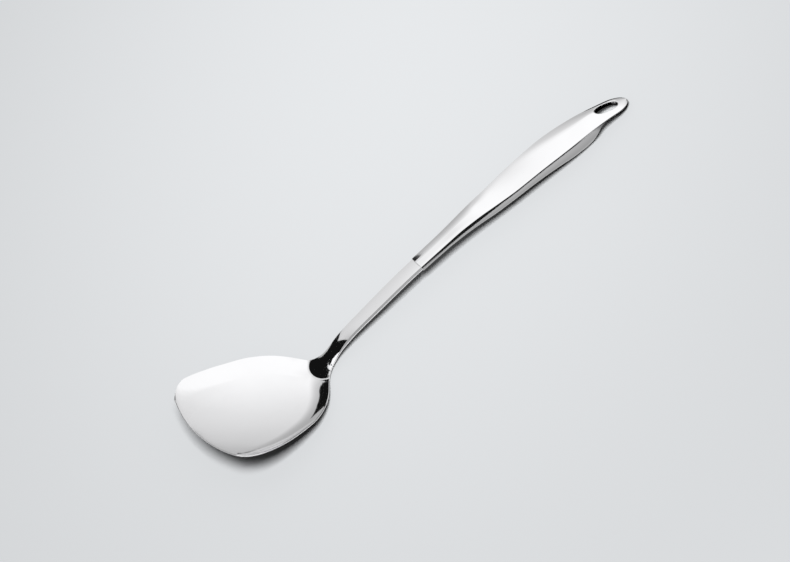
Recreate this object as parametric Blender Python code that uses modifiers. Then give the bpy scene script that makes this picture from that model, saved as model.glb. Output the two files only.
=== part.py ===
"""Polished steel turner: a stamped head with its shank, and a hollow handle made of two shells.

The shapes are drawn in the tool's own frame: x runs from the front of the blade to the end of
the handle, y across the tool and z up, with the blade lying level. At the end the whole tool is
tilted as it rests on a table, on the heel of the blade and the end of the handle.
"""

import math

import bmesh
import bpy
import numpy as np
from mathutils import Matrix, Vector

# Lengths along the tool, in metres
HEAD_LENGTH = 0.186
HANDLE_LENGTH = 0.1790
TOOL_LENGTH = HEAD_LENGTH + HANDLE_LENGTH
BLADE_LENGTH = 0.0938
TANG_LENGTH = 0.022
FIT_GAP = 0.0003

# Blade and shank
BLADE_HALF_WIDTH = 0.0538
BLADE_THICKNESS = 0.0012
SHANK_THICKNESS = 0.0030
TANG_HALF_WIDTH = 0.0053
TANG_THICKNESS = 0.0022
FRONT_BOW = 0.0067
CREASE_BOW = 0.0046
DISH_RADIUS = 0.350
WALL_WIDTH = 0.0055
WALL_HEIGHT = 0.0024
NECK_CROWN = 0.0011
RIM_ROUNDING = 0.0003
FRONT_FADE_LENGTH = 0.0206
NECK_FADE_LENGTH = 0.0075
NECK_GROWTH_LENGTH = 0.0281
CROWN_RISE_LENGTH = 0.0056
DISH_FADE_LENGTH = 0.0188
BOW_FADE_LENGTH = 0.0235
NECK_LENGTH = 0.0375
NECK_END = BLADE_LENGTH + NECK_LENGTH

# Handle shells
SHELL_THICKNESS = 0.0008
HANDLE_HALF_WIDTH = 0.0133
SHOULDER_HEIGHT = 0.0036
CROWN_HEIGHT = 0.0018
BELLY_DEPTH = 0.0135
TOP_CORNER = 0.0012
TAB_CORNER = 0.0009
SEAM_LAND = 0.0005
SEAM_BELOW_SHANK_TOP = 0.0020
END_ROUND_LENGTH = 0.0130
NOSE_HALF_WIDTH = 0.0011
BELLY_SQUARENESS = 2.6
HOLE_SQUARENESS = 2.3

# Largest share of a side wall's height that its rounded corner takes
CORNER_SHARE = 0.65
# Share of its fade by which the lateral dish of the blade starts to flatten before the crease
DISH_LEAD_SHARE = 0.5

# Hang hole
HOLE_MARGIN_LENGTH = 0.0168
HOLE_CENTRE = TOOL_LENGTH - HOLE_MARGIN_LENGTH
HOLE_LENGTH = 0.0180
HOLE_WIDTH = 0.0092
FLANGE_THICKNESS = 0.0008
CUTTER_HEIGHT = 0.020

# Slope of the tool's top line: (share of the head's length, share of the neck slope)
NECK_SLOPE = 0.695
HEAD_SLOPE_SHARES = (
    (0.000, -0.230),
    (0.251, 0.015),
    (0.497, 0.262),
    (0.512, 1.000),
    (0.609, 1.000),
    (0.716, 0.668),
    (0.845, 0.660),
)
# The same along the handle, in shares of its length
HANDLE_SLOPE_SHARES = (
    (0.000, 0.560),
    (0.195, 0.525),
    (0.443, 0.512),
    (0.566, 0.456),
    (0.669, 0.336),
    (0.772, 0.270),
    (0.885, 0.120),
    (1.000, 0.010),
)

# Edge of the head, from the front corner: (share of its length, share of the half width)
EDGE_SHARES = (
    (0.036, 0.739),
    (0.056, 0.850),
    (0.088, 0.948),
    (0.121, 0.993),
    (0.156, 1.000),
    (0.225, 0.980),
    (0.294, 0.928),
    (0.360, 0.860),
    (0.394, 0.799),
    (0.428, 0.719),
    (0.461, 0.614),
    (0.493, 0.476),
    (0.514, 0.362),
    (0.532, 0.268),
    (0.552, 0.192),
    (0.580, 0.142),
    (0.629, 0.112),
    (0.677, 0.106),
    (0.845, 0.115),
    (1.000, 0.119),
)

# Handle: (share of its length from the mouth, share of the size named in each table)
HANDLE_WIDTH_SHARES = (
    (0.000, 0.485),
    (0.118, 0.508),
    (0.174, 0.535),
    (0.246, 0.620),
    (0.297, 0.690),
    (0.370, 0.780),
    (0.431, 0.875),
    (0.499, 0.930),
    (0.566, 0.968),
    (0.633, 1.000),
    (0.695, 0.975),
    (0.762, 0.900),
    (0.818, 0.820),
    (0.874, 0.725),
    (0.930, 0.640),
    (1.000, 0.580),
)
SHOULDER_SHARES = (
    (0.000, 0.700),
    (0.112, 0.740),
    (0.213, 0.900),
    (0.275, 0.870),
    (0.364, 0.560),
    (0.459, 0.420),
    (0.639, 0.400),
    (0.790, 0.380),
    (0.861, 0.300),
    (1.000, 0.260),
)
CROWN_SHARES = (
    (0.000, 0.400),
    (0.168, 0.560),
    (0.252, 0.640),
    (0.375, 0.200),
    (0.476, 0.120),
    (0.560, 0.250),
    (0.655, 0.650),
    (0.739, 0.850),
    (0.800, 1.050),
    (0.850, 1.850),
    (0.900, 1.650),
    (0.950, 0.900),
    (1.000, 0.300),
)
DEPTH_SHARES = (
    (0.000, 0.135),
    (0.123, 0.160),
    (0.190, 0.250),
    (0.275, 0.430),
    (0.359, 0.595),
    (0.426, 0.625),
    (0.499, 0.680),
    (0.571, 0.778),
    (0.639, 0.880),
    (0.706, 0.990),
    (0.756, 1.000),
    (0.796, 0.900),
    (0.824, 0.520),
    (0.843, 0.160),
    (0.863, 0.080),
    (0.950, 0.090),
    (1.000, 0.100),
)
# Share of a plain rounded box in the underside's section, which is rounder along the grip
BOX_SHARES = (
    (0.000, 1.000),
    (0.112, 0.900),
    (0.252, 0.000),
    (0.807, 0.000),
    (0.863, 1.000),
    (1.000, 1.000),
)

# Counts of rows and columns
BLADE_ROWS = 30
NECK_ROWS = 14
SHANK_ROWS = 6
TANG_ROWS = 3
HEAD_COLUMNS = 24
GRIP_ROWS = 34
TAB_ROWS = 10
TOP_COLUMNS = 12
CORNER_STEPS = 3
BELLY_STEPS = 7
FLOOR_COLUMNS = 4
HOLE_STEPS = 28
FINE_STEPS = 2000


def smooth_through(table, at):
    """Values of a smooth curve through (position, value) pairs, without overshoot."""
    xs, ys = np.array(table, float).T
    rise = np.diff(ys) / np.diff(xs)
    middle = 2 * rise[:-1] * rise[1:] / np.where(rise[:-1] + rise[1:] == 0, 1, rise[:-1] + rise[1:])
    middle = np.where(rise[:-1] * rise[1:] > 0, middle, 0)
    tangents = np.concatenate([rise[:1], middle, rise[-1:]])
    at = np.clip(at, xs[0], xs[-1])
    k = np.clip(np.searchsorted(xs, at, side="right") - 1, 0, len(xs) - 2)
    width = xs[k + 1] - xs[k]
    t = (at - xs[k]) / width
    return (
        ys[k] * (1 + 2 * t) * (1 - t) ** 2
        + tangents[k] * width * t * (1 - t) ** 2
        + ys[k + 1] * t * t * (3 - 2 * t)
        + tangents[k + 1] * width * t * t * (t - 1)
    )


def eased(t):
    t = np.clip(t, 0, 1)
    return t * t * (3 - 2 * t)


def cosine_spaced(start, end, count):
    """Positions from start to end, closer together near both ends."""
    return start + (end - start) * (1 - np.cos(np.linspace(0, math.pi, count + 1))) / 2


FINE_X = np.linspace(0, TOOL_LENGTH, FINE_STEPS)
SLOPE_PLACES = [(share * HEAD_LENGTH, slope) for share, slope in HEAD_SLOPE_SHARES] + [
    (HEAD_LENGTH + share * HANDLE_LENGTH, slope) for share, slope in HANDLE_SLOPE_SHARES
]
FINE_SLOPE = NECK_SLOPE * smooth_through(SLOPE_PLACES, FINE_X)
FINE_Z = np.concatenate(
    [[0], np.cumsum((FINE_SLOPE[1:] + FINE_SLOPE[:-1]) / 2 * np.diff(FINE_X))]
)


def top_line(x):
    """Height of the head's top face on the centre line."""
    return np.interp(x, FINE_X, FINE_Z)


def angle_at(x):
    return np.arctan(np.interp(x, FINE_X, FINE_SLOPE))


def seam_point(x, up):
    """(x, z) of a point square to the seam line, at a height above it."""
    angle = angle_at(x)
    offset = up - SEAM_BELOW_SHANK_TOP
    return x - offset * np.sin(angle), top_line(x) + offset * np.cos(angle)


def head_edge():
    """Fine points of the head's edge, from the front corner to the mouth of the handle."""
    xs, ys = np.array(EDGE_SHARES, float).T
    xs = xs * HEAD_LENGTH
    ys = ys * BLADE_HALF_WIDTH
    along = np.concatenate([[0], np.cumsum(np.hypot(np.diff(xs), np.diff(ys)))])
    fine = np.linspace(0, along[-1], FINE_STEPS)
    edge_x = smooth_through(tuple(zip(along, xs)), fine)
    edge_y = smooth_through(tuple(zip(along, ys)), fine)
    return edge_x, edge_y


def row_bow(edge_x):
    """How far the middle of a row lies in front of its ends."""
    on_blade = edge_x < BLADE_LENGTH + CREASE_BOW
    blade_share = (edge_x - FRONT_BOW) / (BLADE_LENGTH + CREASE_BOW - FRONT_BOW)
    neck_share = (edge_x - BLADE_LENGTH - CREASE_BOW) / BOW_FADE_LENGTH
    blade_bow = FRONT_BOW + (CREASE_BOW - FRONT_BOW) * np.clip(blade_share, 0, 1)
    return np.where(on_blade, blade_bow, CREASE_BOW * (1 - np.clip(neck_share, 0, 1)))


def wall_height(x, y, rim):
    """Rise of the upturned wall just inside the rim, which fades at the front and at the neck."""
    gap = np.hypot(rim[:, 0] - x, rim[:, 1] - abs(y))
    nearest = int(np.argmin(gap))
    rim_x = rim[nearest, 0]
    front_fade = eased((rim_x - FRONT_BOW / 2) / FRONT_FADE_LENGTH)
    neck_fade = 1 - eased((rim_x - BLADE_LENGTH) / NECK_FADE_LENGTH)
    return WALL_HEIGHT * front_fade * neck_fade * eased(1 - gap[nearest] / WALL_WIDTH)


def head_rows():
    middles = np.concatenate(
        [
            cosine_spaced(0, BLADE_LENGTH, BLADE_ROWS),
            np.linspace(BLADE_LENGTH, NECK_END, NECK_ROWS + 1)[1:],
            np.linspace(NECK_END, HEAD_LENGTH - FIT_GAP, SHANK_ROWS + 1)[1:],
        ]
    )
    return middles


def head_surface():
    """Points of the head's top face as rows of (x, y, z), and the sheet thickness of each row."""
    edge_x, edge_y = head_edge()
    edge_middle = edge_x - row_bow(edge_x)
    rim = np.stack([edge_x, edge_y], axis=1)
    columns = np.sin(np.linspace(math.pi / 2, -math.pi / 2, HEAD_COLUMNS + 1))
    rows = []
    thicknesses = []
    for middle in head_rows():
        end_x = np.interp(middle, edge_middle, edge_x)
        end_y = np.interp(middle, edge_middle, edge_y)
        bow = end_x - middle
        past_crease = middle - BLADE_LENGTH
        growth = eased(past_crease / NECK_GROWTH_LENGTH)
        dish = 1 - eased(past_crease / DISH_FADE_LENGTH + DISH_LEAD_SHARE)
        crown = NECK_CROWN * eased(past_crease / CROWN_RISE_LENGTH) * (1 - growth)
        row = []
        for share in columns:
            x = end_x - bow * (1 - share * share)
            y = end_y * share
            z = top_line(middle) + dish * y * y / (2 * DISH_RADIUS)
            z += wall_height(x, y, rim) - crown * share * share
            row.append((x, y, z))
        rows.append(row)
        thicknesses.append(BLADE_THICKNESS + (SHANK_THICKNESS - BLADE_THICKNESS) * growth)
    return rows, thicknesses


def open_loft(sections):
    """A bmesh skin through sections of equal length, which faces up where they run to -y."""
    skin = bmesh.new()
    grid = [[skin.verts.new(point) for point in section] for section in sections]
    for first, second in zip(grid, grid[1:]):
        for a, b, c, d in zip(first, first[1:], second[1:], second):
            skin.faces.new((a, b, c, d))
    return skin


def closed_loft(sections):
    """A bmesh solid through closed sections of equal length, with flat ends."""
    solid = bmesh.new()
    rings = [[solid.verts.new(point) for point in section] for section in sections]
    for first, second in zip(rings, rings[1:]):
        for a, b, c, d in zip(first, first[1:] + first[:1], second[1:] + second[:1], second):
            solid.faces.new((a, b, c, d))
    solid.faces.new(rings[0])
    solid.faces.new(rings[-1])
    bmesh.ops.recalc_face_normals(solid, faces=solid.faces)
    return solid


def material(name, roughness):
    steel = bpy.data.materials.new(name)
    steel.use_nodes = True
    shader = steel.node_tree.nodes["Principled BSDF"]
    shader.inputs["Base Color"].default_value = (0.78, 0.78, 0.79, 1)
    shader.inputs["Metallic"].default_value = 1
    shader.inputs["Roughness"].default_value = roughness
    return steel


def add_object(name, shape, origin, collection):
    """Object with its origin at the given (x, z) of the tool frame, smooth shaded."""
    place = Vector((origin[0], 0, origin[1]))
    bmesh.ops.translate(shape, verts=shape.verts, vec=-place)
    mesh = bpy.data.meshes.new(name)
    shape.to_mesh(mesh)
    shape.free()
    for face in mesh.polygons:
        face.use_smooth = True
    thing = bpy.data.objects.new(name, mesh)
    thing.location = place
    collection.objects.link(thing)
    return thing


def tang_box(cutters):
    """The narrower tang that goes into the handle, following the line of the seam."""
    half_height = TANG_THICKNESS / 2
    centre_up = SEAM_BELOW_SHANK_TOP - SHANK_THICKNESS / 2
    sections = []
    start = HEAD_LENGTH - FIT_GAP - TANG_LENGTH / 4
    for x in np.linspace(start, HEAD_LENGTH + TANG_LENGTH, TANG_ROWS + 1):
        section = []
        for side, up in ((-1, -1), (1, -1), (1, 1), (-1, 1)):
            px, pz = seam_point(x, centre_up + up * half_height)
            section.append((px, side * TANG_HALF_WIDTH, pz))
        sections.append(section)
    shape = closed_loft(sections)
    return add_object("tang_block", shape, (HEAD_LENGTH, top_line(HEAD_LENGTH)), cutters)


def build_head(collection, cutters):
    rows, thicknesses = head_surface()
    shape = open_loft(rows)
    head = add_object("turner_head", shape, (BLADE_LENGTH, top_line(BLADE_LENGTH)), collection)
    weights = head.vertex_groups.new(name="sheet_thickness")
    for number, thickness in enumerate(thicknesses):
        first = number * (HEAD_COLUMNS + 1)
        members = list(range(first, first + HEAD_COLUMNS + 1))
        weights.add(members, thickness / SHANK_THICKNESS, "REPLACE")
    sheet = head.modifiers.new("Sheet", "SOLIDIFY")
    sheet.thickness = SHANK_THICKNESS
    sheet.offset = -1
    sheet.use_even_offset = True
    sheet.vertex_group = weights.name
    add_boolean(head, tang_box(cutters), "UNION")
    rounding = head.modifiers.new("Rim rounding", "BEVEL")
    rounding.width = RIM_ROUNDING
    rounding.segments = 1
    rounding.limit_method = "ANGLE"
    rounding.angle_limit = math.radians(50)
    head.data.materials.append(material("polished_head", 0.08))
    return head


def add_boolean(thing, other, operation):
    modifier = thing.modifiers.new(other.name, "BOOLEAN")
    modifier.operation = operation
    modifier.solver = "EXACT"
    modifier.object = other


def handle_stations():
    """Positions along the handle, closer together round its end."""
    grip_end = TOOL_LENGTH - END_ROUND_LENGTH
    grip = np.linspace(HEAD_LENGTH, grip_end, GRIP_ROWS + 1)
    last = math.acos(NOSE_HALF_WIDTH / half_width(grip_end))
    tab = grip_end + END_ROUND_LENGTH * np.sin(np.linspace(0, last, TAB_ROWS + 1)[1:])
    return np.concatenate([grip, tab])


def along_handle(table, x):
    """Value of a handle table at a place along the tool."""
    return smooth_through(table, (x - HEAD_LENGTH) / HANDLE_LENGTH)


def half_width(x):
    """Half width of the handle in plan, with its round end."""
    plain = HANDLE_HALF_WIDTH * along_handle(HANDLE_WIDTH_SHARES, x)
    past = np.clip((x - TOOL_LENGTH + END_ROUND_LENGTH) / END_ROUND_LENGTH, 0, 1)
    return plain * np.sqrt(1 - past * past)


def outward(x):
    """Plan direction square to the handle's edge, as (along, across)."""
    step = FIT_GAP / 10
    change = (half_width(x + step) - half_width(x - step)) / (2 * step)
    size = math.hypot(change, 1)
    return -change / size, 1 / size


def handle_section(x, steps, across):
    """Turns (inset, height) steps of one edge and inner (share, height) points into a section."""
    along, sideways = outward(x)
    width = half_width(x)
    left = []
    for inset, up in steps:
        px, pz = seam_point(x, up)
        shift = min(inset * sideways, width - NOSE_HALF_WIDTH / 4)
        left.append((px - inset * along, width - shift, pz))
    middle = []
    for share, up in across:
        px, pz = seam_point(x, up)
        middle.append((px - steps[-1][0] * along, left[-1][1] * share, pz))
    right = [(px, -py, pz) for px, py, pz in reversed(left)]
    return left + middle + right


def edge_steps(radius, height, count, within):
    """(inset, height) steps of a wall and the rounding above it, drawn within the outer skin."""
    inner = max(radius - within, 0)
    start = height - within - inner
    steps = [(within, FIT_GAP / 2 - within), (within, start)]
    for angle in np.linspace(0, math.pi / 2, count + 1)[1:]:
        steps.append((within + inner * (1 - math.cos(angle)), start + inner * math.sin(angle)))
    return steps


def top_section(x, within=0):
    """Section of the top shell's skin, or of its hollow when within is the wall thickness."""
    shoulder = SHOULDER_HEIGHT * along_handle(SHOULDER_SHARES, x)
    crown = CROWN_HEIGHT * along_handle(CROWN_SHARES, x)
    corner = min(TOP_CORNER, CORNER_SHARE * shoulder)
    steps = edge_steps(corner, shoulder, CORNER_STEPS, within)
    shares = np.linspace(1, -1, TOP_COLUMNS + 1)[1:-1]
    across = [(share, shoulder - within + crown * (1 - share * share)) for share in shares]
    return handle_section(x, steps, across)


def bottom_section(x, within=0):
    """Section of the lower shell's skin, or of its hollow when within is the wall thickness."""
    depth = belly_depth(x, within)
    box = along_handle(BOX_SHARES, x)
    width = half_width(x) - within
    power = 2 / BELLY_SQUARENESS
    corner = min(TAB_CORNER, CORNER_SHARE * (depth + within))
    boxed = edge_steps(corner, depth + within, BELLY_STEPS, within)
    rounded = [boxed[0], (within, SEAM_LAND)]
    for angle in np.linspace(0, math.pi / 2, BELLY_STEPS + 2)[1:-1]:
        drop = SEAM_LAND + (depth - SEAM_LAND) * math.sin(angle) ** power
        rounded.append((within + width * (1 - math.cos(angle) ** power), drop))
    left = []
    for (box_inset, box_up), (round_inset, round_up) in zip(boxed, rounded):
        inset = box_inset * box + round_inset * (1 - box)
        left.append((inset, -box_up * box - round_up * (1 - box)))
    shares = np.linspace(1, -1, FLOOR_COLUMNS + 1)[1:-1]
    return handle_section(x, left, [(share, -depth) for share in shares])


def belly_depth(x, within):
    """Depth of the lower shell below the seam, kept a wall inside the skin where it is steep."""
    reach = np.linspace(-within, within, FLOOR_COLUMNS)
    depths = BELLY_DEPTH * along_handle(DEPTH_SHARES, x + reach)
    return depths.min() - within


def hole_outline(length, width):
    """Plan outline of the hang hole, a squarish oval."""
    power = 2 / HOLE_SQUARENESS
    points = []
    for angle in np.linspace(0, 2 * math.pi, HOLE_STEPS + 1)[:-1]:
        along, across = math.cos(angle), math.sin(angle)
        x = length / 2 * math.copysign(abs(along) ** power, along)
        y = width / 2 * math.copysign(abs(across) ** power, across)
        points.append((x, y))
    return points


def hole_prism(name, length, width, low, high, cutters):
    """Upright prism of the hang hole, standing square to the tab."""
    shape = bmesh.new()
    base = shape.faces.new([shape.verts.new((x, y, low)) for x, y in hole_outline(length, width)])
    raised = bmesh.ops.extrude_face_region(shape, geom=[base])
    top = [item for item in raised["geom"] if isinstance(item, bmesh.types.BMVert)]
    bmesh.ops.translate(shape, verts=top, vec=Vector((0, 0, high - low)))
    bmesh.ops.recalc_face_normals(shape, faces=shape.faces)
    seam_x, seam_z = seam_point(HOLE_CENTRE, 0)
    prism = add_object(name, shape, (0, 0), cutters)
    prism.location = (seam_x, 0, seam_z)
    prism.rotation_euler = (0, -angle_at(HOLE_CENTRE), 0)
    return prism


def build_shell(name, section, side, collection, cutters):
    """One half of the handle: a skin of even thickness, with a flange round the hang hole."""
    stations = handle_stations()
    skin = closed_loft([section(x) for x in stations])
    shell = add_object(name, skin, seam_point(HEAD_LENGTH, 0), collection)
    stations[0] -= SHELL_THICKNESS
    hollow = closed_loft([section(x, SHELL_THICKNESS) for x in stations])
    add_boolean(shell, add_object(name + "_hollow", hollow, (0, 0), cutters), "DIFFERENCE")
    at_hole = section(HOLE_CENTRE)
    roof = abs(at_hole[len(at_hole) // 2][2] - seam_point(HOLE_CENTRE, 0)[1])
    low, high = sorted((side * FIT_GAP / 2, side * (roof - SHELL_THICKNESS / 2)))
    flange = hole_prism(
        name + "_flange",
        HOLE_LENGTH + 2 * FLANGE_THICKNESS,
        HOLE_WIDTH + 2 * FLANGE_THICKNESS,
        low,
        high,
        cutters,
    )
    add_boolean(shell, flange, "UNION")
    hole = hole_prism(
        name + "_hole", HOLE_LENGTH, HOLE_WIDTH, -CUTTER_HEIGHT / 2, CUTTER_HEIGHT / 2, cutters
    )
    add_boolean(shell, hole, "DIFFERENCE")
    shell.data.materials.append(material("polished_" + name, 0.10))
    return shell


def evaluated_points(things):
    """World points and volume-weighted centre of the finished objects."""
    graph = bpy.context.evaluated_depsgraph_get()
    clouds = []
    volume = 0
    moment = np.zeros(3)
    for thing in things:
        finished = thing.evaluated_get(graph)
        mesh = finished.to_mesh()
        mesh.calc_loop_triangles()
        place = finished.matrix_world
        points = np.array([place @ vertex.co for vertex in mesh.vertices])
        corners = points[[tuple(face.vertices) for face in mesh.loop_triangles]]
        pieces = np.einsum("ij,ij->i", corners[:, 0], np.cross(corners[:, 1], corners[:, 2])) / 6
        volume += pieces.sum()
        moment += (corners.sum(axis=1) / 4 * pieces[:, None]).sum(axis=0)
        clouds.append(points)
        finished.to_mesh_clear()
    return np.concatenate(clouds), moment / volume


def lower_hull(points):
    """Corners of the lower outline of a cloud seen from the side, from front to back."""
    hull = []
    for point in sorted(set(map(tuple, points[:, [0, 2]].round(7)))):
        while len(hull) > 1:
            (ax, az), (bx, bz) = hull[-2:]
            if (bx - ax) * (point[1] - az) - (bz - az) * (point[0] - ax) > 0:
                break
            hull.pop()
        hull.append(point)
    return hull


def lay_on_table(things, stand):
    """Tilts the tool onto the two low points either side of its centre of mass."""
    points, centre = evaluated_points(things)
    hull = lower_hull(points)
    (ax, az), (bx, bz) = next(
        (first, second) for first, second in zip(hull, hull[1:]) if first[0] <= centre[0] < second[0]
    )
    tilt = math.atan2(bz - az, bx - ax)
    turned = points @ np.array(Matrix.Rotation(tilt, 3, "Y")).T
    low, high = turned.min(axis=0), turned.max(axis=0)
    stand.rotation_euler = (0, tilt, 0)
    stand.location = (-(low[0] + high[0]) / 2, 0, -low[2])


def main():
    for thing in list(bpy.data.objects):
        bpy.data.objects.remove(thing)
    scene = bpy.context.scene.collection
    turner = bpy.data.collections.new("turner")
    cutters = bpy.data.collections.new("cutters")
    for collection in (turner, cutters):
        scene.children.link(collection)
    cutters.hide_render = True
    things = [
        build_head(turner, cutters),
        build_shell("handle_top_shell", top_section, 1, turner, cutters),
        build_shell("handle_bottom_shell", bottom_section, -1, turner, cutters),
    ]
    for helper in cutters.objects:
        helper.hide_render = True
        helper.display_type = "WIRE"
    bpy.context.view_layer.update()
    stand = bpy.data.objects.new("table_rest", None)
    turner.objects.link(stand)
    lay_on_table(things, stand)
    for thing in list(things) + list(cutters.objects):
        thing.parent = stand


if __name__ == "__main__":
    main()
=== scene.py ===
"""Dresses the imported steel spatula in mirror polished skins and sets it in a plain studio.

The shapes are drawn in the tool's own frame, as in the part's source: x runs from the front of the
blade to the end of the handle, y across the tool and z up, with the blade lying level. Each
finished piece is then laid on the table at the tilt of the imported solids. Sizes are in metres and
angles in radians.
"""

import logging
import math
from dataclasses import dataclass, fields
from enum import Enum
from typing import Callable

import bmesh
import bpy
import numpy as np
from mathutils import Matrix, Vector


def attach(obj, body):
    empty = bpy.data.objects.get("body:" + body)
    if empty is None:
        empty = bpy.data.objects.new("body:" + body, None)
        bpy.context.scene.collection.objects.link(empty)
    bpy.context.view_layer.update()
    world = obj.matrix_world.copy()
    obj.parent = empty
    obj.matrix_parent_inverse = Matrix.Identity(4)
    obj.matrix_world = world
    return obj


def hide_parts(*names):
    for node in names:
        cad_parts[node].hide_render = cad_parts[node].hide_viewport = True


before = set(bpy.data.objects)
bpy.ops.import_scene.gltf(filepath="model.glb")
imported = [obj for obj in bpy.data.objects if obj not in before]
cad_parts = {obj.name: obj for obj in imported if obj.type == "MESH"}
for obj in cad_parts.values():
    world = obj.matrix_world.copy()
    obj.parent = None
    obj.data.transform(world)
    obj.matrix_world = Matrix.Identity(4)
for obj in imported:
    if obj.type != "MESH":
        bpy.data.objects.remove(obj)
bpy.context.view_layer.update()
LOG = logging.getLogger("spatula")

Array = np.ndarray
Shares = tuple[tuple[float, float], ...]
Point = tuple[float, float]
Colour = tuple[float, float, float]
Material = bpy.types.Material
Mesh = bpy.types.Mesh
Object = bpy.types.Object
Inputs = dict | tuple

# Points closer together than this are one
MERGE_DISTANCE = 1e-7
# Standard deviations that a blur reaches to either side
BLUR_SPAN = 3

# Slope of the tool's top line: (share of the head's length, share of the neck slope)
HEAD_SLOPE_SHARES: Shares = (
    (0.000, -0.230), (0.251, 0.015), (0.497, 0.262), (0.512, 1.000),
    (0.609, 1.000), (0.716, 0.668), (0.845, 0.660),
)
# The same along the handle, in shares of its length
HANDLE_SLOPE_SHARES: Shares = (
    (0.000, 0.560), (0.195, 0.525), (0.443, 0.512), (0.566, 0.456),
    (0.669, 0.336), (0.772, 0.270), (0.885, 0.120), (1.000, 0.010),
)
# Edge of the head, from the front corner: (share of its length, share of the half width)
EDGE_SHARES: Shares = (
    (0.036, 0.739), (0.056, 0.850), (0.088, 0.948), (0.121, 0.993), (0.156, 1.000),
    (0.225, 0.980), (0.294, 0.928), (0.360, 0.860), (0.394, 0.799), (0.428, 0.719),
    (0.461, 0.614), (0.493, 0.476), (0.514, 0.362), (0.532, 0.268), (0.552, 0.192),
    (0.580, 0.142), (0.629, 0.112), (0.677, 0.106), (0.845, 0.115), (1.000, 0.119),
)
# Handle: (share of its length from the mouth, share of the size named in each table)
HANDLE_WIDTH_SHARES: Shares = (
    (0.000, 0.485), (0.118, 0.508), (0.174, 0.535), (0.246, 0.620),
    (0.297, 0.690), (0.370, 0.780), (0.431, 0.875), (0.499, 0.930),
    (0.566, 0.968), (0.633, 1.000), (0.695, 0.975), (0.762, 0.900),
    (0.818, 0.820), (0.874, 0.725), (0.930, 0.640), (1.000, 0.580),
)
SHOULDER_SHARES: Shares = (
    (0.000, 0.700), (0.112, 0.740), (0.213, 0.900), (0.275, 0.870), (0.364, 0.560),
    (0.459, 0.420), (0.639, 0.400), (0.790, 0.380), (0.861, 0.300), (1.000, 0.260),
)
CROWN_SHARES: Shares = (
    (0.000, 0.400), (0.168, 0.560), (0.252, 0.640), (0.375, 0.290), (0.476, 0.300),
    (0.560, 0.430), (0.655, 0.650), (0.739, 0.850), (0.800, 1.050), (0.850, 1.850),
    (0.900, 1.650), (0.950, 0.900), (1.000, 0.300),
)
DEPTH_SHARES: Shares = (
    (0.000, 0.135), (0.123, 0.160), (0.190, 0.250), (0.275, 0.430), (0.359, 0.595),
    (0.426, 0.625), (0.499, 0.680), (0.571, 0.778), (0.639, 0.880), (0.706, 0.990),
    (0.756, 1.000), (0.796, 0.900), (0.824, 0.520), (0.843, 0.160), (0.863, 0.080),
    (0.950, 0.090), (1.000, 0.100),
)
# Share of a plain rounded box in the underside's section, which is rounder along the grip
BOX_SHARES: Shares = (
    (0.000, 1.000), (0.112, 0.900), (0.252, 0.000),
    (0.807, 0.000), (0.863, 1.000), (1.000, 1.000),
)

# Brightness that the metal mirrors: (height of the direction, radiance)
STUDIO_SKY_SHARES: Shares = (
    (0.00, 0.58), (0.15, 0.64), (0.25, 0.76), (0.35, 0.85),
    (0.45, 0.95), (0.55, 1.10), (0.62, 1.22), (1.00, 1.25),
)
# Painted reflection of the floor near the tool, which only the metal sees, dark before it: (share
# of the strip from its front to its back, radiance)
STUDIO_FLOOR_SHARES: Shares = (
    (0.00, 0.01), (0.14, 0.01), (0.17, 0.58), (0.36, 0.50),
    (0.54, 0.42), (0.74, 0.60), (1.00, 0.60),
)


class Side(Enum):
    """The two halves of the handle, by the side of the seam on which each lies."""

    TOP = 1
    BOTTOM = -1


class RayKind(Enum):
    """Light Path outputs that the studio's backdrop tells apart."""

    CAMERA = "Is Camera Ray"
    GLOSSY = "Is Glossy Ray"


def smooth_through(table: Shares, at: Array) -> Array:
    """Values of a smooth curve through pairs, without overshoot.

    Args:
        table: (position, value) pairs in rising order of position.
        at: Positions to evaluate; those outside the table take its end values.

    Returns:
        The values at the positions.
    """
    xs, ys = np.array(table, float).T
    rise = np.diff(ys) / np.diff(xs)
    before, after = rise[:-1], rise[1:]
    total = np.where(before + after == 0, 1, before + after)
    middle = np.where(before * after > 0, 2 * before * after / total, 0)
    tangents = np.concatenate([rise[:1], middle, rise[-1:]])
    at = np.clip(at, xs[0], xs[-1])
    span = np.clip(np.searchsorted(xs, at, side="right") - 1, 0, len(xs) - 2)
    width = xs[span + 1] - xs[span]
    t = (at - xs[span]) / width
    return (
        ys[span] * (1 + 2 * t) * (1 - t) ** 2
        + tangents[span] * width * t * (1 - t) ** 2
        + ys[span + 1] * t * t * (3 - 2 * t)
        + tangents[span + 1] * width * t * t * (t - 1)
    )


def eased(t: Array) -> Array:
    """A soft step from 0 to 1 while t goes from 0 to 1."""
    t = np.clip(t, 0, 1)
    return t * t * (3 - 2 * t)


def blurred(values: Array, reach: float) -> Array:
    """Evens out a finely sampled curve.

    Args:
        values: Evenly spaced samples.
        reach: Standard deviation of the blur, in samples.

    Returns:
        The blurred samples, with the ends kept in line.
    """
    pad = math.ceil(BLUR_SPAN * reach)
    weights = np.exp(-((np.arange(-pad, pad + 1) / reach) ** 2) / 2)
    start = 2 * values[0] - values[pad:0:-1]
    end = 2 * values[-1] - values[-2 : -pad - 2 : -1]
    padded = np.concatenate([start, values, end])
    return np.convolve(padded, weights / weights.sum(), mode="valid")


def rounding_drop(gap: Array, radius: float) -> Array:
    """How far a rounded edge falls below the face beside it.

    Args:
        gap: Distance from the edge; below zero counts as on it.
        radius: Radius of the rounding.

    Returns:
        The drop, from the radius at the edge to zero past the rounding.
    """
    inside = np.clip(radius - gap, 0, radius)
    return radius - np.sqrt(radius * radius - inside * inside)


def quarter_turn(steps: int) -> Array:
    """Evenly spaced angles from zero to a right angle."""
    return np.linspace(0, math.pi / 2, steps + 1)


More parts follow.
